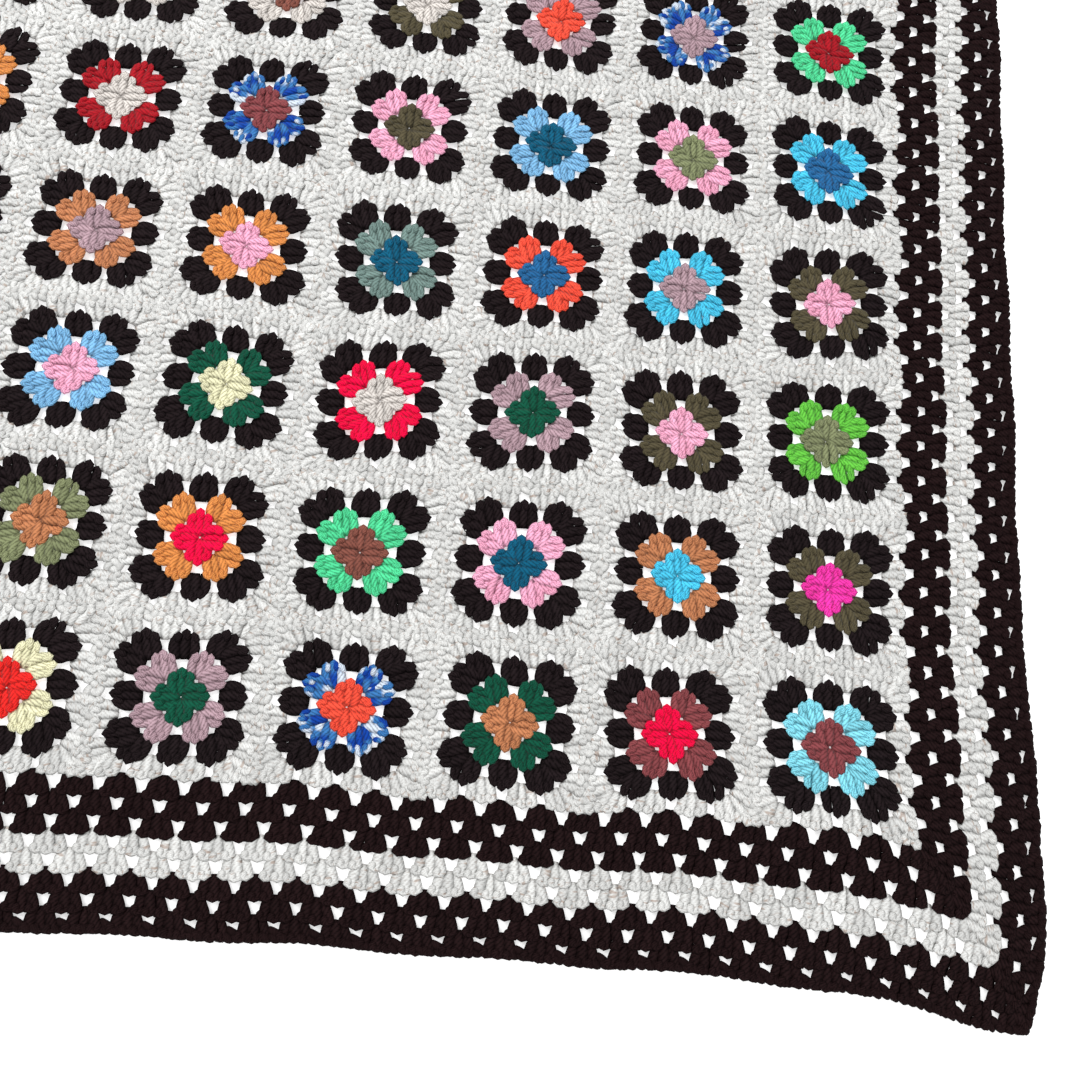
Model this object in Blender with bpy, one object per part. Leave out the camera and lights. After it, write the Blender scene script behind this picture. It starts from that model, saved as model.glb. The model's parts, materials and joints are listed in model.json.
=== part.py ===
"""A granny-square crochet throw: joined squares inside a striped crocheted border.

The throw lies open on a flat surface.  X runs across it, Y along it and Z up, and
the origin is on that surface under its middle.  It folds at three seams that run
right across it, so it is made as four panels, which lie on each other when folded.
"""
import bmesh
import bpy

# Driving dimensions, in metres.
SQUARE = 0.120           # one finished square, seam to seam
COLUMNS = 8              # squares across the throw
PANEL_ROWS = (2, 3, 3, 2)    # rows of squares in each folding panel, bottom to top
THICKNESS = 0.007        # crocheted fabric lying flat
END_ROUND = 0.0132       # depth of one border round at the bottom and top edges
SIDE_ROUND = 0.0115       # depth of one border round at the two long edges
STITCH_GAP = 0.0006      # clearance where two pieces are stitched together
FOLD_GAP = 0.0010        # clearance between two layers of the folded throw
CROWN_HEIGHT = 0.0010    # how far the middle of a piece stands above its edge
CROWN_INSET = 0.0035     # width of the lower edge around that middle
SQUARES_IN_NODE = 2      # neighbouring squares that are made as one solid

# Border bands from the squares outwards: name, number of rounds, colour.
DARK = (0.030, 0.016, 0.014)
CREAM = (0.690, 0.650, 0.580)
BANDS = (
    ("inner_dark", 3, DARK),
    ("cream", 2, CREAM),
    ("outer_dark", 3, DARK),
)
PANELS = ("lower_end", "lower_middle", "upper_middle", "upper_end")
YARNS = (
    (0.560, 0.020, 0.020), (0.050, 0.260, 0.480), (0.600, 0.250, 0.050),
    (0.060, 0.200, 0.080), (0.640, 0.190, 0.290), (0.240, 0.270, 0.070),
    (0.330, 0.250, 0.290), (0.700, 0.560, 0.080),
)
YARN_STEP = 3            # how far the yarn list moves on from one row to the next

HALF_WIDTH = COLUMNS * SQUARE / 2
HALF_LENGTH = sum(PANEL_ROWS) * SQUARE / 2


def clear_scene():
    for thing in list(bpy.data.objects):
        bpy.data.objects.remove(thing, do_unlink=True)


def yarn_material(name, colour):
    material = bpy.data.materials.get(name)
    if material is None:
        material = bpy.data.materials.new(name)
        material.use_nodes = True
        shader = material.node_tree.nodes["Principled BSDF"]
        shader.inputs["Base Color"].default_value = (*colour, 1.0)
        shader.inputs["Roughness"].default_value = 0.9
        shader.inputs["Metallic"].default_value = 0.0
    return material


def fabric_piece(name, xs, ys, material, left_open=(), crown_each=False):
    """A flat piece of fabric over the cells between xs and ys, without the cells in left_open."""
    bm = bmesh.new()
    bmesh.ops.create_grid(bm, x_segments=len(xs) - 1, y_segments=len(ys) - 1, size=0.5)
    for vert in bm.verts:
        column = round((vert.co.x + 0.5) * (len(xs) - 1))
        row = round((vert.co.y + 0.5) * (len(ys) - 1))
        vert.co = (xs[column], ys[row], 0.0)
    for column, row in left_open:
        cells = [
            face for face in bm.faces
            if xs[column] < face.calc_center_median().x < xs[column + 1]
            and ys[row] < face.calc_center_median().y < ys[row + 1]
        ]
        bmesh.ops.delete(bm, geom=cells, context="FACES")
    walls = bmesh.ops.extrude_face_region(bm, geom=bm.faces[:])
    raised = [item for item in walls["geom"] if isinstance(item, bmesh.types.BMVert)]
    top_faces = [item for item in walls["geom"] if isinstance(item, bmesh.types.BMFace)]
    bmesh.ops.translate(bm, vec=(0.0, 0.0, THICKNESS - CROWN_HEIGHT), verts=raised)
    crown = bmesh.ops.inset_individual if crown_each else bmesh.ops.inset_region
    crown(bm, faces=top_faces, thickness=CROWN_INSET, use_even_offset=True)
    crown_verts = {vert for face in top_faces for vert in face.verts}
    for vert in crown_verts:
        vert.co.z = THICKNESS
    bmesh.ops.recalc_face_normals(bm, faces=bm.faces[:])
    mesh = bpy.data.meshes.new(name)
    bm.to_mesh(mesh)
    bm.free()
    piece = bpy.data.objects.new(name, mesh)
    mesh.materials.append(material)
    bpy.context.scene.collection.objects.link(piece)
    return piece


def square_pairs(panel_start, rows, first_row, pivot):
    """The squares of one panel, two neighbours to a solid."""
    half_gap = STITCH_GAP / 2
    for row in range(rows):
        y_low = panel_start + row * SQUARE
        for pair in range(COLUMNS // SQUARES_IN_NODE):
            x_low = -HALF_WIDTH + pair * SQUARES_IN_NODE * SQUARE
            x_high = x_low + SQUARES_IN_NODE * SQUARE
            seams = [x_low + step * SQUARE for step in range(1, SQUARES_IN_NODE)]
            yarn = ((first_row + row) * YARN_STEP + pair) % len(YARNS)
            first_column = pair * SQUARES_IN_NODE + 1
            piece = fabric_piece(
                f"squares_row_{first_row + row:02d}_columns_{first_column}_{first_column + 1}",
                [x_low + half_gap, *seams, x_high - half_gap],
                [y_low + half_gap, y_low + SQUARE - half_gap],
                yarn_material(f"square_yarn_{yarn + 1}", YARNS[yarn]),
                crown_each=True,
            )
            hang_on(piece, pivot)


def border_bands(panel, y_low, y_high, pivot):
    """The border beside one panel: legs at the two sides, joined by a strip on an end panel."""
    half_gap = STITCH_GAP / 2
    inner_rounds = 0
    for band, rounds, colour in BANDS:
        outer_rounds = inner_rounds + rounds
        inner_x = HALF_WIDTH + inner_rounds * SIDE_ROUND + half_gap
        outer_x = HALF_WIDTH + outer_rounds * SIDE_ROUND - half_gap
        inner_end = inner_rounds * END_ROUND + half_gap
        outer_end = outer_rounds * END_ROUND - half_gap
        low, high = y_low + half_gap, y_high - half_gap
        xs = [-outer_x, -inner_x, inner_x, outer_x]
        material = yarn_material(f"{band}_yarn", colour)
        if panel == "lower_end":
            ys = [y_low - outer_end, y_low - inner_end, high]
            pieces = [fabric_piece(f"{band}_border_bottom", xs, ys, material, [(1, 1)])]
        elif panel == "upper_end":
            ys = [low, y_high + inner_end, y_high + outer_end]
            pieces = [fabric_piece(f"{band}_border_top", xs, ys, material, [(1, 0)])]
        else:
            pieces = [
                fabric_piece(f"{band}_border_{panel}_left", xs[:2], [low, high], material),
                fabric_piece(f"{band}_border_{panel}_right", xs[2:], [low, high], material),
            ]
        for piece in pieces:
            hang_on(piece, pivot)
        inner_rounds = outer_rounds


def hang_on(piece, pivot):
    """Parent a piece to its panel's fold line, with the piece left where it lies."""
    if pivot is not None:
        piece.parent = pivot
        piece.matrix_parent_inverse = pivot.matrix_world.inverted()


def fold_line(name, y, z):
    pivot = bpy.data.objects.new(name, None)
    bpy.context.scene.collection.objects.link(pivot)
    pivot.location = (0.0, y, z)
    bpy.context.view_layer.update()
    return pivot


def build_throw():
    clear_scene()
    seams = [-HALF_LENGTH]
    for rows in PANEL_ROWS:
        seams.append(seams[-1] + rows * SQUARE)
    end_fold_height = THICKNESS + FOLD_GAP / 2
    middle_fold_height = 2 * THICKNESS + 1.5 * FOLD_GAP
    middle_fold = fold_line("middle_fold", seams[2], middle_fold_height)
    lower_end_fold = fold_line("lower_end_fold", seams[1], end_fold_height)
    upper_end_fold = fold_line("upper_end_fold", seams[3], end_fold_height)
    hang_on(upper_end_fold, middle_fold)
    bpy.context.view_layer.update()
    pivots = (lower_end_fold, None, middle_fold, upper_end_fold)
    first_row = 1
    for panel, rows, y_low, y_high, pivot in zip(PANELS, PANEL_ROWS, seams, seams[1:], pivots):
        square_pairs(y_low, rows, first_row, pivot)
        border_bands(panel, y_low, y_high, pivot)
        first_row += rows


build_throw()
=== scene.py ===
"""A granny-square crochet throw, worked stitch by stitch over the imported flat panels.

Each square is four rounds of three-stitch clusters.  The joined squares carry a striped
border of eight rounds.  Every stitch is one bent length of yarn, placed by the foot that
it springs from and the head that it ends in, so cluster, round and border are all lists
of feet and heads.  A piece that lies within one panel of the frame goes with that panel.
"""

import json
import math

import bmesh
import bpy
import numpy as np
from mathutils import Matrix, Vector


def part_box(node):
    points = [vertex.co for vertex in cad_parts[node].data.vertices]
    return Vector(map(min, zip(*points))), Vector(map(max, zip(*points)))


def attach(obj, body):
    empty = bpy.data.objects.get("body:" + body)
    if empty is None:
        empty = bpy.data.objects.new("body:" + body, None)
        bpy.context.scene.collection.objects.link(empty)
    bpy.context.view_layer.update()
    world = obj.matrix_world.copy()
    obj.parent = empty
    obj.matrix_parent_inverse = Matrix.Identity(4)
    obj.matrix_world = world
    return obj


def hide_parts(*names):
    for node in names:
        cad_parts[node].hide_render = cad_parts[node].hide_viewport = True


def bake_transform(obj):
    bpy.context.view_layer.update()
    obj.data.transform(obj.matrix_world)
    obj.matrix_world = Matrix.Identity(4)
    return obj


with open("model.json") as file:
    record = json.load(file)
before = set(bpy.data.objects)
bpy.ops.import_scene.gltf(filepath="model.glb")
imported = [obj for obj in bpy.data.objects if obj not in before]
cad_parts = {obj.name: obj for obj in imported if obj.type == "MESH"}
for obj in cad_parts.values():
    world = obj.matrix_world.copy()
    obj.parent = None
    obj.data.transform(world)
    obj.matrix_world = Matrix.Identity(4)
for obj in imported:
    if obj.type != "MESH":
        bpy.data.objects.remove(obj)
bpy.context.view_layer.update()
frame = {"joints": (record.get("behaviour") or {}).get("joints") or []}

MM = 0.001
rng = np.random.default_rng(7)

# ---------------------------------------------------------------- sizes from the frame
COLUMNS = 8
ROWS = 10
BORDER_ROUNDS = 8
row_one_low, row_one_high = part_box("squares_row_01_columns_1_2")
row_two_low, row_two_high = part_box("squares_row_02_columns_1_2")
border_low, border_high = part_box("outer_dark_border_bottom")
SQUARE = row_two_low[1] - row_one_low[1]
HALF_WIDTH = COLUMNS * SQUARE / 2
HALF_LENGTH = ROWS * SQUARE / 2
SIDE_ROUND = (border_high[0] - HALF_WIDTH) / BORDER_ROUNDS
END_ROUND = (-HALF_LENGTH - border_low[1]) / BORDER_ROUNDS
FABRIC_MIDDLE = 3 * MM       # height of the middle of the yarn above the surface

# ---------------------------------------------------------------- yarns
# Each yarn's colour as it shows, red, green and blue from 0 to 255.
YARNS = {
    "plum": (140, 70, 74),
    "turquoise": (138, 226, 244),
    "hot_red": (255, 0, 68),
    "camel": (199, 130, 88),
    "forest": (8, 84, 62),
    "coral": (255, 84, 62),
    "taupe": (184, 154, 164),
    "scarlet": (246, 42, 38),
    "lemon": (238, 236, 196),
    "magenta": (255, 58, 176),
    "olive": (86, 79, 58),
    "sky": (76, 204, 242),
    "teal": (8, 92, 124),
    "pink": (255, 176, 206),
    "russet": (138, 82, 70),
    "mint": (84, 222, 156),
    "ochre": (226, 144, 76),
    "sage": (132, 140, 102),
    "leaf": (104, 200, 70),
    "oatmeal": (218, 212, 206),
    "steel": (130, 190, 234),
    "denim": (38, 106, 162),
    "slate": (120, 146, 140),
    "brick": (172, 20, 34),
}
# A marled yarn runs through three colours.
MARLED = {
    "marled_blue": ((12, 66, 164), (214, 226, 240), (60, 122, 186)),
}
NEARLY_BLACK = (33, 25, 27)
DARK_BROWN = (34, 20, 21)
CREAM = (221, 222, 220)
CREAM_FLECK = (150, 118, 96)

# Centre and second yarn of each square, from the left, with the top row first and two
# lines to a row.
COLOUR_PLAN = """
sage/pink teal/ochre plum/mint hot_red/steel
    olive/turquoise coral/lemon denim/camel taupe/forest
forest/turquoise magenta/olive oatmeal/brick leaf/pink
    mint/plum sky/ochre russet/lemon steel/coral
lemon/denim hot_red/sage steel/camel pink/teal
    ochre/olive marled_blue/pink forest/lemon magenta/slate
coral/slate olive/pink turquoise/plum brick/lemon
    taupe/sky sage/hot_red teal/pink camel/mint
teal/pink ochre/steel hot_red/oatmeal russet/oatmeal
    oatmeal/olive coral/taupe taupe/marled_blue brick/mint
pink/forest plum/ochre oatmeal/brick plum/marled_blue
    olive/pink teal/steel sage/pink denim/sky
sky/coral leaf/taupe taupe/camel pink/ochre
    teal/slate denim/coral taupe/sky pink/olive
ochre/teal hot_red/turquoise pink/steel lemon/forest
    oatmeal/hot_red forest/taupe pink/olive sage/leaf
mint/brick steel/plum camel/sage hot_red/ochre
    russet/mint teal/pink sky/camel magenta/olive
taupe/denim lemon/magenta scarlet/lemon forest/taupe
    coral/marled_blue camel/forest hot_red/plum plum/turquoise
"""


# ---------------------------------------------------------------- yarn materials
class Wire:
    """One value inside a material, which can be added to or multiplied by another."""

    def __init__(self, look, socket):
        self.look = look
        self.socket = socket

    def _math(self, operation, first, second):
        return self.look.node("ShaderNodeMath", {"operation": operation}, {0: first, 1: second})

    def __add__(self, other):
        return self._math("ADD", self, other)

    def __radd__(self, other):
        return self._math("ADD", other, self)

    def __sub__(self, other):
        return self._math("SUBTRACT", self, other)

    def __rsub__(self, other):
        return self._math("SUBTRACT", other, self)

    def __mul__(self, other):
        return self._math("MULTIPLY", self, other)

    def __rmul__(self, other):
        return self._math("MULTIPLY", other, self)

    def wave(self):
        """A smooth ridge, from 0 to 1, once for each turn of the value."""
        turned = self * (2 * math.pi)
        return self.look.node("ShaderNodeMath", {"operation": "SINE"}, {0: turned}) * 0.5 + 0.5

    def between(self, low, high):
        """0 below low, 1 above high and smooth between them."""
        return self.look.node(
            "ShaderNodeMapRange", {"interpolation_type": "SMOOTHSTEP"},
            {"Value": self, "From Min": low, "From Max": high},
        )


class Look:
    """A material that is built up node by node."""

    def __init__(self, name):
        self.material = bpy.data.materials.new(name)
        self.material.use_nodes = True
        self.tree = self.material.node_tree
        self.shader = self.tree.nodes["Principled BSDF"]

    def node(self, kind, settings=None, inputs=None, output=0):
        made = self.tree.nodes.new(kind)
        for key, value in (settings or {}).items():
            setattr(made, key, value)
        for key, value in (inputs or {}).items():
            self.feed(made, key, value)
        return Wire(self, made.outputs[output])

    def feed(self, node, key, value):
        if isinstance(value, Wire):
            self.tree.links.new(value.socket, node.inputs[key])
        else:
            node.inputs[key].default_value = value

    def blend(self, share, first, second):
        """Colours mixed by share, from the first at 0 to the second at 1."""
        return self.node(
            "ShaderNodeMix", {"data_type": "RGBA"},
            {"Factor": share, 6: first, 7: second}, output=2,
        )

    def tinted(self, colour, tint):
        """A colour multiplied by a fixed tint."""
        return self.node(
            "ShaderNodeMix", {"data_type": "RGBA", "blend_type": "MULTIPLY"},
            {"Factor": 1.0, 6: colour, 7: (*tint, 1.0)}, output=2,
        )

    def surface(self, **inputs):
        for key, value in inputs.items():
            self.feed(self.shader, key.replace("_", " ").title(), value)


def linear(colour, strength=1.0):
    """A colour of 0 to 255 as light, with an alpha of 1."""
    shares = [channel / 255 for channel in colour]
    light = [c / 12.92 if c <= 0.04045 else ((c + 0.055) / 1.055) ** 2.4 for c in shares]
    return (*[min(1.0, channel * strength) for channel in light], 1.0)


def yarn_look(name, colours, fleck=None, sheen=0.05, depth=0.42, pale=1.15, gloss=0.15, ply=0.35):
    """Plied wool: ridges that wind round the strand, loose fibres, and painted shade between the
    plies.

    depth is how dark the painted shade between the plies and on the shaded parts of a stitch is
    (low fibres reach it too, as random tone), pale how light the palest fibres are and ply how
    much of the pattern is plies and not fibres.
    """
    look = Look(name)
    place = look.node("ShaderNodeUVMap", {"uv_map": "strand"})
    around = look.node("ShaderNodeSeparateXYZ", None, {0: place})
    along = Wire(look, around.socket.node.outputs[1])
    tone = look.node("ShaderNodeAttribute", {"attribute_name": "tone"}, None, output=2)
    # The painted light and shade of each point, set where the stitch is made.
    shade = look.node("ShaderNodeAttribute", {"attribute_name": "shade"}, None, output=2)
    plies = (around * 5 + along * 9 + tone * 5).wave()
    spot = look.node("ShaderNodeCombineXYZ", None, {0: around * 5, 1: along * 34, 2: tone * 40})
    fibres = look.node("ShaderNodeTexNoise", None, {"Vector": spot, "Scale": 1.6, "Detail": 2.0})
    if len(colours) == 1:
        pure = look.blend(tone, linear(colours[0], 0.86), linear(colours[0], 1.10))
    else:
        run = look.node("ShaderNodeCombineXYZ", None, {0: tone * 3.1, 1: along * 0.7, 2: 0.0})
        patch = look.node("ShaderNodeTexNoise", None, {"Vector": run, "Scale": 2.2, "Detail": 0.0})
        first = look.blend(patch.between(0.38, 0.46), linear(colours[0]), linear(colours[2]))
        pure = look.blend(patch.between(0.52, 0.60), first, linear(colours[1]))
    darker = look.tinted(pure, (depth, depth * 0.94, depth * 0.92))
    # Painted shade: the colour goes to darker between the plies, where the stitch's painted shade
    # attribute is low, and among low fibres as random tone.
    light = (plies * ply + fibres * (1 - ply)).between(0.18, 0.62) * shade.between(0.05, 0.70)
    colour = look.blend(light, darker, pure)
    paler = look.tinted(pure, (pale, pale, pale))
    colour = look.blend(fibres.between(0.56, 0.80) * 0.6, colour, paler)
    if fleck:
        dots = look.node(
            "ShaderNodeCombineXYZ", None, {0: around * 1.2, 1: along * 7, 2: tone * 63},
        )
        speck = look.node("ShaderNodeTexNoise", None, {"Vector": dots, "Scale": 1.3, "Detail": 1.0})
        colour = look.blend(speck.between(0.62, 0.72) * 0.55, colour, linear(fleck))
    height = plies * 0.7 + fibres * 0.5
    bump = look.node(
        "ShaderNodeBump", None, {"Strength": 0.55, "Distance": 0.5 * MM, "Height": height},
    )
    look.surface(base_color=colour, roughness=0.92 - 0.12 * fibres, normal=bump)
    look.shader.inputs["Sheen Weight"].default_value = sheen
    look.shader.inputs["Sheen Roughness"].default_value = 0.45
    look.shader.inputs["Specular IOR Level"].default_value = gloss
    return look.material


def all_looks():
    looks = {name: yarn_look(f"{name}_yarn", (colour,)) for name, colour in YARNS.items()}
    for name, colours in MARLED.items():
        looks[name] = yarn_look(f"{name}_yarn", colours)
    dull = {"sheen": 0.0, "depth": 0.2, "pale": 1.8, "gloss": 0.06}
    looks["black"] = yarn_look("black_round_yarn", (NEARLY_BLACK,), **dull)
    looks["dark"] = yarn_look("dark_border_yarn", (DARK_BROWN,), **dull)
    looks["cream"] = yarn_look(
        "cream_yarn", (CREAM,), fleck=CREAM_FLECK, depth=0.58, pale=1.10, ply=0.15,
    )
    return looks


# ---------------------------------------------------------------- one stitch of yarn
STRAND_SIDES = 5
HALF_WIDE = 3.3              # millimetres, the half width of a stitch as it is drawn here
# A stitch from its foot, up the leg, over the head from left to right and a little way
# down in front.  Each step is millimetres across, along and above the surface, then half
# the strand's width, half its thickness and how light it is painted: painted shade, dark at
# the foot and at the end tucked down in front, and painted light over the head.
CLUSTER_LENGTH = 18.4
CLUSTER_COURSE = (
    (0.0, 1.2, 1.6, 2.9, 0.7, 0.35),
    (0.0, 4.4, 2.2, 3.4, 0.9, 0.75),
    (-0.1, 8.2, 2.7, 3.5, 1.0, 0.9),
    (-0.4, 11.8, 2.7, 3.35, 1.0, 0.75),
    (-1.25, 14.4, 2.7, 2.55, 1.1, 0.85),
    (-1.5, 16.8, 3.1, 2.2, 1.2, 1.0),
    (0.1, 17.7, 3.6, 1.9, 1.2, 1.0),
    (1.65, 16.8, 3.7, 2.2, 1.2, 1.0),
    (1.5, 14.4, 3.8, 2.15, 1.2, 0.95),
    (1.0, 12.5, 3.2, 1.5, 0.7, 0.6),
)
# A chain stitch, or a whip stitch over a seam, drawn the same way, with its painted shade darker at
# both ends.
CHAIN_LENGTH = 8.6
CHAIN_COURSE = (
    (-1.4, 0.0, 1.7, 1.9, 0.8, 0.5),
    (-1.1, 1.8, 2.7, 2.7, 1.2, 0.85),
    (-0.4, 3.5, 3.3, 3.0, 1.4, 1.0),
    (0.4, 5.1, 3.3, 3.0, 1.4, 1.0),
    (1.1, 6.8, 2.7, 2.7, 1.2, 0.85),
    (1.4, 8.6, 1.7, 1.9, 0.8, 0.5),
)


def yarn_piece(name, course):
    """A closed mesh of one length of yarn, with its turn and run in the strand map."""
    points = [Vector(step[:3]) for step in course]
    bm = bmesh.new()
    bmesh.ops.create_circle(bm, cap_ends=True, segments=STRAND_SIDES, radius=1.0)
    strand = bm.loops.layers.uv.new("strand")
    # shade holds the painted light and shade of each point of the strand.
    shade = bm.verts.layers.float.new("shade")
    turn_of = {}
    end = next(iter(bm.faces))
    for step, point in enumerate(points):
        if step:
            grown = bmesh.ops.extrude_face_region(bm, geom=[end])["geom"]
            if step > 1:
                bmesh.ops.delete(bm, geom=[end], context="FACES_ONLY")
            end = next(item for item in grown if isinstance(item, bmesh.types.BMFace))
        before = points[max(step - 1, 0)]
        after = points[min(step + 1, len(points) - 1)]
        heading = (after - before).normalized()
        side = heading.cross(Vector((0, 0, 1))).normalized()
        top = side.cross(heading)
        for corner, vert in enumerate(end.verts):
            angle = 2 * math.pi * (corner + 0.25) / STRAND_SIDES
            wide = side * (math.cos(angle) * course[step][3])
            thick = top * (math.sin(angle) * course[step][4])
            vert.co = point + wide + thick
            # Painted shade: the step's painted light, fullest on the top of the strand and less on
            # its sides and underside, as if lit from above.
            vert[shade] = course[step][5] * (0.55 + 0.45 * max(0.0, math.sin(angle)))
            turn_of[vert] = (corner, step)
    bmesh.ops.recalc_face_normals(bm, faces=bm.faces[:])
    for face in bm.faces:
        corners = [turn_of[loop.vert][0] for loop in face.loops]
        wraps = max(corners) == STRAND_SIDES - 1 and min(corners) == 0
        for loop in face.loops:
            corner, step = turn_of[loop.vert]
            turn = corner + (STRAND_SIDES if wraps and corner == 0 else 0)
            loop[strand].uv = (turn / STRAND_SIDES, step / (len(course) - 1))
        face.smooth = True
    mesh = bpy.data.meshes.new(name)
    bm.to_mesh(mesh)
    bm.free()
    return mesh


def coordinates(mesh):
    flat = np.empty(len(mesh.vertices) * 3, np.float32)
    mesh.vertices.foreach_get("co", flat)
    return flat.reshape(-1, 3).astype(float)


class Stitch:
    """The mesh of one stitch, which is repeated to make a piece of fabric."""

    def __init__(self, name, course, length):
        self.mesh = yarn_piece(name, course)
        self.shape = coordinates(self.mesh) / (HALF_WIDE, length, 1 / MM)
        self.faces = len(self.mesh.polygons)
        self.cloths = {}

    def repeated(self, count):
        """A mesh of that many stitches, all in one place, made once for each count."""
        if count not in self.cloths:
            bm = bmesh.new()
            for _ in range(count):
                bm.from_mesh(self.mesh)
            mesh = bpy.data.meshes.new("repeated_stitch")
            bm.to_mesh(mesh)
            bm.free()
            self.cloths[count] = mesh
        return self.cloths[count].copy()

    def placed(self, stitches, lift):
        """Where the stitches' points lie, with each stitch between its foot and its head.

        A stitch is its foot, its head, its half width at each, how much wider it is in
        the middle and how far its middle bends to the side.  lift raises a stitch.
        """
        feet, way = stitches[:, None, :2], (stitches[:, 2:4] - stitches[:, :2])[:, None, :]
        foot_wide, head_wide, belly, bow = stitches[:, None, 4:].transpose(2, 0, 1)
        run = self.shape[None, :, 1]
        middle = np.sin(np.pi * run.clip(0, 1))
        half = foot_wide + (head_wide - foot_wide) * run + belly * middle
        side = self.shape[None, :, 0] * half + bow * middle
        unit = way / np.linalg.norm(way, axis=2)[..., None]
        across = np.stack([unit[..., 1], -unit[..., 0]], axis=2)
        flat = feet + way * run[..., None] + across * side[..., None]
        height = self.shape[None, :, 2] + lift[:, None]
        return np.concatenate([flat, height[..., None]], axis=2)


# ---------------------------------------------------------------- clusters
HEAD_PITCH = 7.2
OVERLAP = 1.12               # how much wider a stitch is than its place in a cluster


def stitch_between(foot, head, foot_wide, head_wide, belly=0.0, bow=0.0):
    return np.array([*foot, *head, foot_wide, head_wide, belly, bow], float)


def cluster(foot, head, side, head_pitch=HEAD_PITCH, foot_pitch=3.4, droop=(2.0, 2.0), bow=0.9):
    """Three stitches, in millimetres, that spring from one foot.

    side is the way that the heads run, droop is how far the first and the last head fall
    short of the middle one, and bow is how far those two stitches bend outward.
    """
    foot, head, side = (np.array(value, float) for value in (foot, head, side))
    way = (head - foot) / np.linalg.norm(head - foot)
    foot_side = np.array([way[1], -way[0]])
    hand = 1.0
    if foot_side @ side < 0:
        foot_side = -foot_side
        hand = -1.0
    out = np.array([-side[1], side[0]])
    if out @ way < 0:
        out = -out
    made = []
    for step, short in ((-1, droop[0]), (0, 0.0), (1, droop[1])):
        made.append(stitch_between(
            foot + foot_side * step * foot_pitch,
            head + side * step * head_pitch - out * short,
            foot_pitch / 2 * OVERLAP + 0.3,
            head_pitch / 2 * OVERLAP,
            bow / 2 * OVERLAP,
            hand * step * bow,
        ))
    return made


def quarter_turns(stitches, turns):
    turned = []
    for stitch in stitches:
        for _ in range(turns):
            foot_x, foot_y, head_x, head_y, *rest = stitch
            stitch = np.array([foot_y, -foot_x, head_y, -head_x, *rest])
        turned.append(stitch)
    return turned


def square_rounds():
    """The stitches of one square, in millimetres about its centre, and the round of each."""
    along = (1.0, 0.0)
    one_side = {
        0: cluster((0, -0.8), (0, 21.0), along, 5.6, 3.6, droop=(3.4, 3.4), bow=1.6),
        1: cluster((-10.2, 10.6), (-14.7, 33.0), along, 4.9, 3.4, droop=(2.6, 1.8), bow=1.7)
        + cluster((10.2, 10.6), (14.7, 33.0), along, 4.9, 3.4, droop=(1.8, 2.6), bow=1.7),
        2: cluster((-23.2, 25.0), (-28.8, 48.4), along, 5.7, 4.6, droop=(3.2, 2.2), bow=1.7)
        + cluster((0, 25.6), (0, 48.6), along, 5.0, 4.8, droop=(2.2, 2.2), bow=2.2)
        + cluster((23.2, 25.0), (28.8, 48.4), along, 5.7, 4.6, droop=(2.2, 3.2), bow=1.7),
        3: cluster((-38.4, 41.2), (-44.4, 59.0), along, 7.2, 3.9, droop=(0.8, 0.6), bow=1.0)
        + cluster((-15.0, 40.4), (-14.8, 59.2), along, 7.2, 4.3, droop=(1.2, 1.2), bow=1.0)
        + cluster((15.0, 40.4), (14.8, 59.2), along, 7.2, 4.3, droop=(1.2, 1.2), bow=1.0)
        + cluster((38.4, 41.2), (44.4, 59.0), along, 7.2, 3.9, droop=(0.6, 0.8), bow=1.0)
        + [stitch_between((44.0, 44.0), (59.0, 59.0), 3.0, 4.2)],
    }
    numbers, stitches = [], []
    for number, side in one_side.items():
        for turns in range(4):
            stitches += quarter_turns(side, turns)
            numbers += [number] * len(side)
    return np.array(numbers), np.array(stitches)


# ---------------------------------------------------------------- how the throw lies
def lie(points):
    """Moves points of the flat throw to where the laid fabric really is."""
    x, y, z = points[:, 0], points[:, 1], points[:, 2]
    side = x - 0.57
    bulge = np.exp(-((side / 0.18) ** 2 + ((y + 0.65) / 0.13) ** 2))
    tip = np.exp(-((side / 0.09) ** 2 + ((y + 0.71) / 0.05) ** 2))
    hang = (np.exp(-((side / 0.22) ** 2)) + np.exp(-((side / 0.07) ** 2))) / 2
    hang *= np.exp(-(((y + 0.71) / 0.16) ** 2))
    skew = np.sin((x - 0.10) * 3.4) * np.sin((y + 0.25) * 3.1)
    away = (
        13.0 * bulge
        - 13.5 * tip
        - 5.0 * skew
        + 7.0 * np.exp(-((side / 0.13) ** 2))
        + 1.6 * np.sin(y * 23 + 0.6) * np.cos(x * 9)
        + 0.9 * np.sin(y * 51 + x * 17)
    )
    up = (
        -32.0 * hang
        + 1.8 * np.sin(x * 19 + 1.1) * np.cos(y * 11 + 0.4)
        + 1.0 * np.sin(x * 47 + y * 13 + 2.0)
    )
    lift = 0.5 * np.sin(x * 31 + 0.8) * np.sin(y * 27 + 0.3) + 0.3 * np.sin(x * 73 + y * 59)
    return np.stack([x + away * MM, y + up * MM, z + (lift + 0.5) * MM], axis=1)


# ---------------------------------------------------------------- pieces of fabric
folds = []
for joint in frame["joints"]:
    height = joint["pos_m"][2] - FABRIC_MIDDLE
    folds.append({"joint": joint, "y": joint["pos_m"][1], "reach": math.pi * height / 2})
folds.sort(key=lambda fold: fold["y"])
PANELS = ("lower_end", "lower_middle", "upper_middle", "upper_end")


def section_bounds():
    """Cuts along the throw, so that no piece of it meets more than one fold line."""
    bounds = [-1.0]
    for below, above in zip(folds, folds[1:]):
        bounds += [below["y"], (below["y"] + above["y"]) / 2]
    return [*bounds, folds[-1]["y"], 1.0]


def panel_at(y):
    return PANELS[sum(fold["y"] < y for fold in folds)]


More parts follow.
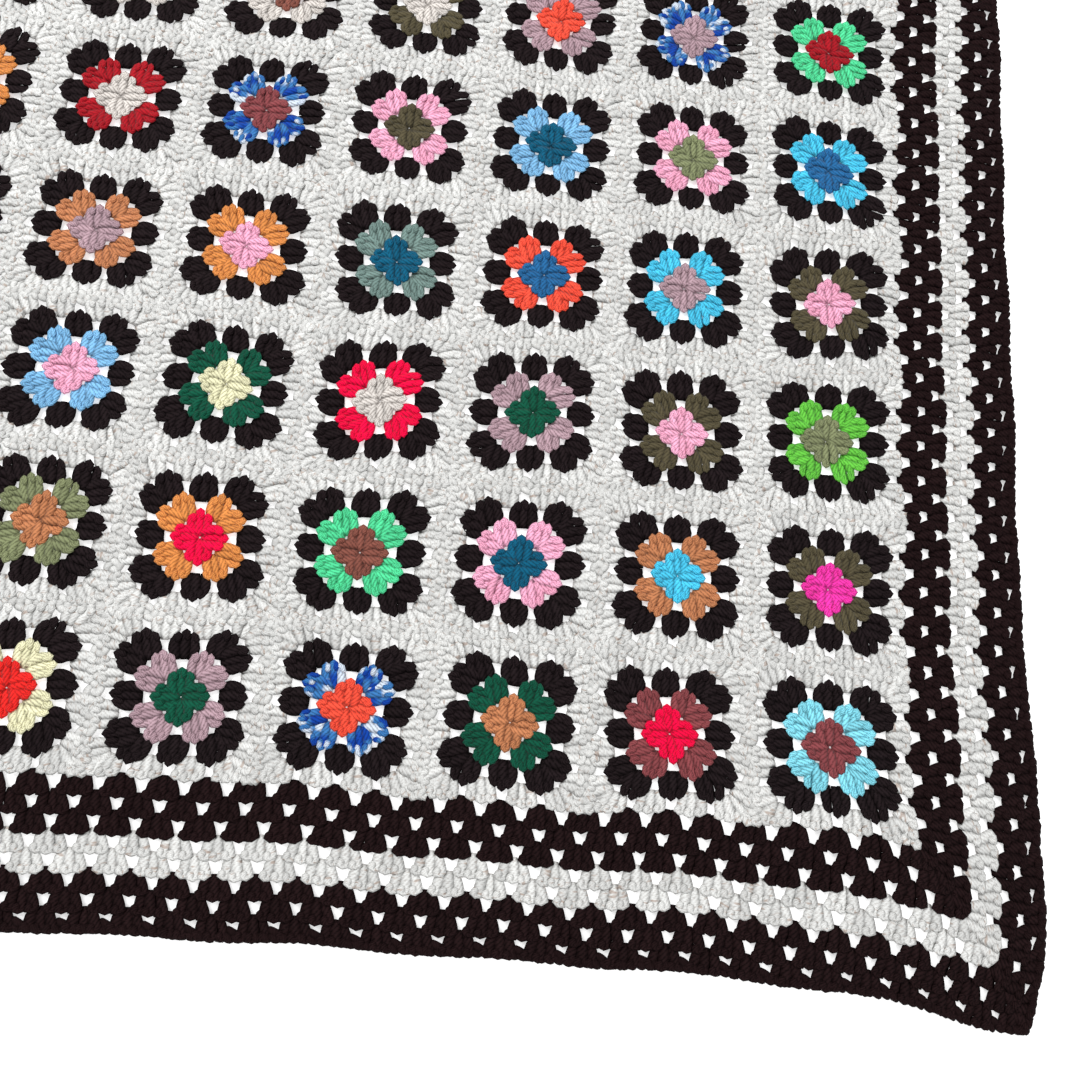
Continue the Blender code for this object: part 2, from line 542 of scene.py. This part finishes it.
def carry(piece, y_low, y_high):
    """Lets a piece go with its panel; a piece that meets a fold line only has its transform baked
    in.
    """
    for fold, below, above in zip(folds, PANELS, PANELS[1:]):
        if y_low - MM <= fold["y"] <= y_high + MM:
            start = (0, fold["y"] - fold["reach"], 0)
            end = (0, fold["y"] + fold["reach"], 0)
            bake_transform(piece)
            return
    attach(piece, panel_at((y_low + y_high) / 2))


def in_metres(stitches):
    """Stitches with their feet, heads and bows in metres."""
    return np.array(stitches) * MM


def fabric(name, stitch, stitches, slots, materials, stray=0.22, warp=None):
    """One piece of crochet made of stitches, in metres, with each stitch's material slot.

    stray is how far, in millimetres, feet and heads are off their places.
    """
    count = len(stitches)
    stitches = stitches.copy()
    stitches[:, :4] += stray * MM * rng.standard_normal((count, 4)).clip(-1.5, 1.5)
    stitches[:, 4:6] *= 1 + 0.04 * rng.standard_normal((count, 1)).clip(-1, 2)
    lift = 0.3 * MM * rng.standard_normal(count).clip(-2, 2)
    points = stitch.placed(stitches, lift).reshape(-1, 3)
    if warp is not None:
        points = warp(points)
    points = lie(points)
    mesh = stitch.repeated(count)
    mesh.name = name
    mesh.vertices.foreach_set("co", points.astype(np.float32).ravel())
    tone = mesh.attributes.new("tone", "FLOAT", "POINT")
    tones = np.repeat(rng.random(count), len(stitch.shape))
    tone.data.foreach_set("value", tones.astype(np.float32))
    for material in materials:
        mesh.materials.append(material)
    mesh.polygons.foreach_set("material_index", np.repeat(slots, stitch.faces).astype(np.int32))
    mesh.update()
    piece = bpy.data.objects.new(name, mesh)
    bpy.context.scene.collection.objects.link(piece)
    return piece


SQUARE_TURN = math.radians(3.5)    # how far the middle of a square is turned, about
SQUARE_DRIFT = 1.3 * MM            # and moved, while its edges stay in place


def make_squares(looks, stitch):
    numbers, stitches = square_rounds()
    stitches = in_metres(stitches)
    pairs = COLOUR_PLAN.split()
    plan = [pairs[first:first + COLUMNS] for first in range(0, len(pairs), COLUMNS)][::-1]
    half = SQUARE / 2
    for row in range(ROWS):
        for column in range(COLUMNS):
            middle = np.array(
                [-HALF_WIDTH + (column + 0.5) * SQUARE, -HALF_LENGTH + (row + 0.5) * SQUARE]
            )
            centre, second = (looks[name] for name in plan[row][column].split("/"))
            turn = SQUARE_TURN * rng.standard_normal()
            drift = SQUARE_DRIFT * rng.standard_normal(2)

            def warp(points, middle=middle, turn=turn, drift=drift):
                local = points[:, :2] - middle
                hold = np.clip(1 - (np.abs(local).max(axis=1) / half) ** 2, 0, 1)
                angle = turn * hold
                x = local[:, 0] * np.cos(angle) - local[:, 1] * np.sin(angle)
                y = local[:, 0] * np.sin(angle) + local[:, 1] * np.cos(angle)
                moved = np.stack([x, y], axis=1) + drift * hold[:, None] + middle
                return np.concatenate([moved, points[:, 2:]], axis=1)

            piece = fabric(
                f"square_row_{row + 1:02d}_column_{column + 1}", stitch,
                stitches + (*middle, *middle, 0, 0, 0, 0), numbers,
                (centre, second, looks["black"], looks["cream"]), warp=warp,
            )
            pair = column // 2 * 2 + 1
            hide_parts(f"squares_row_{row + 1:02d}_columns_{pair}_{pair + 1}")
            carry(piece, middle[1] - half, middle[1] + half)


# ---------------------------------------------------------------- seams
WHIP_PITCH = 5.6 * MM
HOLE_PLACES = (-29.2 * MM, 0.0, 29.2 * MM)   # gaps between clusters along a square's side
CHAIN_IN = 3.8 * MM          # from the seam to the chain that closes such a gap


def strands(places, way):
    """Chain stitches that lie along way, in metres, with their middles at places."""
    reach = np.array(way) * CHAIN_LENGTH * MM / 2
    wide = HALF_WIDE * MM
    return [stitch_between(place - reach, place + reach, wide, wide) for place in np.array(places)]


def seam_line(start, along, count):
    """Whip stitches over one seam, and the chains beside it that close the squares' edges."""
    along = np.array(along)
    across = np.array([along[1], -along[0]])
    steps = np.arange(WHIP_PITCH / 2, count * SQUARE, WHIP_PITCH)
    whips = strands([start + along * step for step in steps], across)
    holes = [(n + 0.5) * SQUARE + place for n in range(count) for place in HOLE_PLACES]
    for beside in (-CHAIN_IN, CHAIN_IN):
        places = [start + along * hole + across * beside for hole in holes]
        whips += strands(places, along)
    return whips


def strand_piece(name, strand, whips, look):
    piece = fabric(name, strand, np.array(whips), np.zeros(len(whips)), (look,), stray=0.3)
    return piece


def make_seams(looks, strand):
    for row in range(1, ROWS):
        y = -HALF_LENGTH + row * SQUARE
        whips = seam_line(np.array([-HALF_WIDTH, y]), (1.0, 0.0), COLUMNS)
        piece = strand_piece(
            f"seam_above_row_{row:02d}", strand, whips, looks["cream"],
        )
        carry(piece, y, y)
    bounds = section_bounds()
    whips = []
    for column in range(1, COLUMNS):
        start = np.array([-HALF_WIDTH + column * SQUARE, -HALF_LENGTH])
        whips += seam_line(start, (0.0, 1.0), ROWS)
    for number, (low, high) in enumerate(zip(bounds, bounds[1:]), 1):
        here = [whip for whip in whips if low <= (whip[1] + whip[3]) / 2 < high]
        piece = strand_piece(
            f"seams_between_columns_{number}", strand, here, looks["cream"],
        )
        carry(piece, low, high)


# ---------------------------------------------------------------- border
BANDS = (("inner_dark", 3, "dark"), ("cream", 2, "cream"), ("outer_dark", 3, "dark"))
FOOT_IN = 5.6                # millimetres that a border cluster's foot is in the round before
SPIKE_IN = 10.5              # the same where it fills the notch between two squares
CORNER_IN = 4.5              # the same in both ways at a corner
# Head pitch, foot pitch, droop and bow of a border cluster, in the open cream rounds and
# in the closer dark ones.
OPEN_SHAPE = (8.3, 3.8, (0.8, 0.8), 0.6)
CLOSE_SHAPE = (8.6, 4.0, (0.5, 0.5), 0.5)
OPEN_ROUNDS = (4, 5)


def side_heads(number, squares, half, growth):
    """Middles of the clusters along one side of a round, and half the side's length."""
    count = 4 * squares + number
    reach = half + number * growth
    return (np.arange(count) + 0.5) / count * 2 * reach - reach


def square_heads(squares):
    """Middles of the last clusters of the squares along one side."""
    places = (-43.6, -14.5, 14.5, 43.6)
    first = -squares * SQUARE / 2
    return np.array([first + (n + 0.5) * SQUARE + s * MM for n in range(squares) for s in places])


def border_side(number, squares, half, growth, depth, edge):
    """Clusters of one side of one border round, for the side that faces down.

    half is half the side's length, growth how much each round adds at each end, depth
    the depth of a round and edge how far the squares' edge is from the middle.
    """
    before = square_heads(squares) if number == 1 else side_heads(number - 1, squares, half, growth)
    middles = side_heads(number, squares, half, growth)
    line = -(edge + number * depth)
    last_line = -(edge + (number - 1) * depth)
    made = []
    for place, middle in enumerate(middles):
        corner = place in (0, len(middles) - 1)
        if corner:
            outward = -1 if place == 0 else 1
            corner_x = half + (number - 1) * growth - CORNER_IN * MM
            foot = (outward * corner_x, last_line + CORNER_IN * MM)
        else:
            notch = abs((before[place - 1] + before[place]) / 2 % SQUARE)
            at_seam = number == 1 and min(notch, SQUARE - notch) < 2 * MM
            deep = SPIKE_IN if at_seam else FOOT_IN
            foot = ((before[place - 1] + before[place]) / 2, last_line + deep * MM)
        shape = OPEN_SHAPE if number in OPEN_ROUNDS else CLOSE_SHAPE
        head = np.array((middle, line)) / MM
        made += cluster(np.array(foot) / MM, head, (1.0, 0.0), *shape)
    return made


def border_round(number):
    """Feet and heads of all clusters of one border round."""
    bottom = border_side(number, COLUMNS, HALF_WIDTH, SIDE_ROUND, END_ROUND, HALF_LENGTH)
    side = border_side(number, ROWS, HALF_LENGTH, END_ROUND, SIDE_ROUND, HALF_WIDTH)
    turned = {
        "bottom": bottom,
        "top": quarter_turns(bottom, 2),
        "left": quarter_turns(side, 1),
        "right": quarter_turns(side, 3),
    }
    return turned


def make_border(looks, stitch):
    edges = section_bounds()
    stops = edges[1:-1]
    number = 0
    for band, rounds, look in BANDS:
        parts = {}
        for _ in range(rounds):
            number += 1
            for side, stitches in border_round(number).items():
                for stitch_row in in_metres(stitches):
                    if side in ("bottom", "top"):
                        key = side
                    else:
                        section = sum(stop < stitch_row[3] for stop in stops)
                        key = {0: "bottom", 5: "top"}.get(section, f"{side}_{section}")
                    parts.setdefault(key, []).append(stitch_row)
        first = number - rounds
        for key, stitches in parts.items():
            piece = fabric(
                f"{band}_border_worked_{key}", stitch, np.array(stitches),
                np.zeros(len(stitches)), (looks[look],),
            )
            middle_round = first + rounds / 2
            if key in ("bottom", "top"):
                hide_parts(f"{band}_border_{key}")
                strip = 2 * (HALF_WIDTH + middle_round * SIDE_ROUND)
                leg = HALF_LENGTH - abs(stops[0]) + middle_round * END_ROUND
                area = strip * rounds * END_ROUND + 2 * leg * rounds * SIDE_ROUND
                length = area / (rounds * END_ROUND)
                rounds * END_ROUND
                if key == "bottom":
                    carry(piece, stops[0] - 0.1, stops[0])
                else:
                    carry(piece, stops[4], stops[4] + 0.1)
            else:
                side, section = key.split("_")
                low, high = edges[int(section)], edges[int(section) + 1]
                panel = panel_at((low + high) / 2)
                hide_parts(f"{band}_border_{panel}_{side}")
                rounds * SIDE_ROUND
                high - low
                carry(piece, low, high)


EDGE_PITCH = 6.4 * MM
EDGE_IN = 2.6 * MM           # how far the chain's middle is inside the last heads


def make_edge(looks, strand):
    """Chain stitches along the heads of the last round, and across its gaps."""
    half_x = HALF_WIDTH + BORDER_ROUNDS * SIDE_ROUND - EDGE_IN
    half_y = HALF_LENGTH + BORDER_ROUNDS * END_ROUND - EDGE_IN
    edges = section_bounds()
    chains = []
    for sign in (-1, 1):
        steps = np.arange(-half_x, half_x, EDGE_PITCH) + EDGE_PITCH / 2
        chains += strands([(x, sign * half_y) for x in steps], (1.0, 0.0))
        steps = np.arange(-half_y, half_y, EDGE_PITCH) + EDGE_PITCH / 2
        chains += strands([(sign * half_x, y) for y in steps], (0.0, 1.0))
    last = BORDER_ROUNDS - 0.5
    for squares, half, growth, depth, edge, flip in (
        (COLUMNS, HALF_WIDTH, SIDE_ROUND, END_ROUND, HALF_LENGTH, False),
        (ROWS, HALF_LENGTH, END_ROUND, SIDE_ROUND, HALF_WIDTH, True),
    ):
        middles = side_heads(BORDER_ROUNDS, squares, half, growth)
        for sign in (-1, 1):
            line = sign * (edge + last * depth)
            gaps = [((a + b) / 2, line) for a, b in zip(middles, middles[1:])]
            way = (0.0, 1.0) if flip else (1.0, 0.0)
            chains += strands([gap[::-1] if flip else gap for gap in gaps], way)
    for number, (low, high) in enumerate(zip(edges, edges[1:]), 1):
        here = [chain for chain in chains if low <= (chain[1] + chain[3]) / 2 < high]
        piece = strand_piece(f"edge_chain_{number}", strand, here, looks["dark"])
        carry(piece, low, high)


# ---------------------------------------------------------------- stage
# The camera looks down on the lower right corner of the throw.
CAMERA_PLACE = (HALF_WIDTH - 0.324, -HALF_LENGTH + 0.077, 0.665)
CAMERA_WAY = (0.0571, 0.1806, -0.9819)
CAMERA_UP = (-0.0852, 0.9808, 0.1755)
CAMERA_LENS = 28.9


def make_camera():
    data = bpy.data.cameras.new("camera")
    data.lens = CAMERA_LENS
    data.clip_start = 0.01
    camera = bpy.data.objects.new("camera", data)
    bpy.context.scene.collection.objects.link(camera)
    back = -Vector(CAMERA_WAY).normalized()
    right = Vector(CAMERA_UP).cross(back).normalized()
    turn = Matrix((right, back.cross(right), back)).transposed()
    camera.matrix_world = Matrix.Translation(CAMERA_PLACE) @ turn.to_4x4()
    bpy.context.scene.camera = camera


def make_floor():
    bm = bmesh.new()
    bmesh.ops.create_grid(bm, x_segments=1, y_segments=1, size=6.0)
    mesh = bpy.data.meshes.new("floor")
    bm.to_mesh(mesh)
    bm.free()
    look = Look("floor_paper")
    look.surface(base_color=(0.85, 0.85, 0.85, 1.0), roughness=0.9)
    look.shader.inputs["Emission Color"].default_value = (1.0, 1.0, 1.0, 1.0)
    look.shader.inputs["Emission Strength"].default_value = 0.5
    mesh.materials.append(look.material)
    floor = bpy.data.objects.new("floor", mesh)
    floor.location.z = -0.5 * MM
    bpy.context.scene.collection.objects.link(floor)


def make_lights():
    for name, place, size, power in (
        ("key_light", (-0.9, 0.9, 2.2), 1.6, 60.0),
        ("fill_light", (1.6, -1.2, 2.0), 2.0, 22.0),
    ):
        data = bpy.data.lights.new(name, "AREA")
        data.size = size
        data.energy = power
        light = bpy.data.objects.new(name, data)
        light.location = place
        light.rotation_euler = (-Vector(place)).to_track_quat("-Z", "Y").to_euler()
        bpy.context.scene.collection.objects.link(light)
    world = bpy.data.worlds.new("world")
    world.use_nodes = True
    world.node_tree.nodes["Background"].inputs["Color"].default_value = (1.0, 1.0, 1.0, 1.0)
    world.node_tree.nodes["Background"].inputs["Strength"].default_value = 0.55
    bpy.context.scene.world = world
    bpy.context.scene.view_settings.view_transform = "Standard"


# ---------------------------------------------------------------- making
make_camera()
yarn_looks = all_looks()
cluster_stitch = Stitch("cluster_stitch", CLUSTER_COURSE, CLUSTER_LENGTH)
chain_stitch = Stitch("chain_stitch", CHAIN_COURSE, CHAIN_LENGTH)
make_squares(yarn_looks, cluster_stitch)
make_seams(yarn_looks, chain_stitch)
make_border(yarn_looks, cluster_stitch)
make_edge(yarn_looks, chain_stitch)
make_floor()
make_lights()
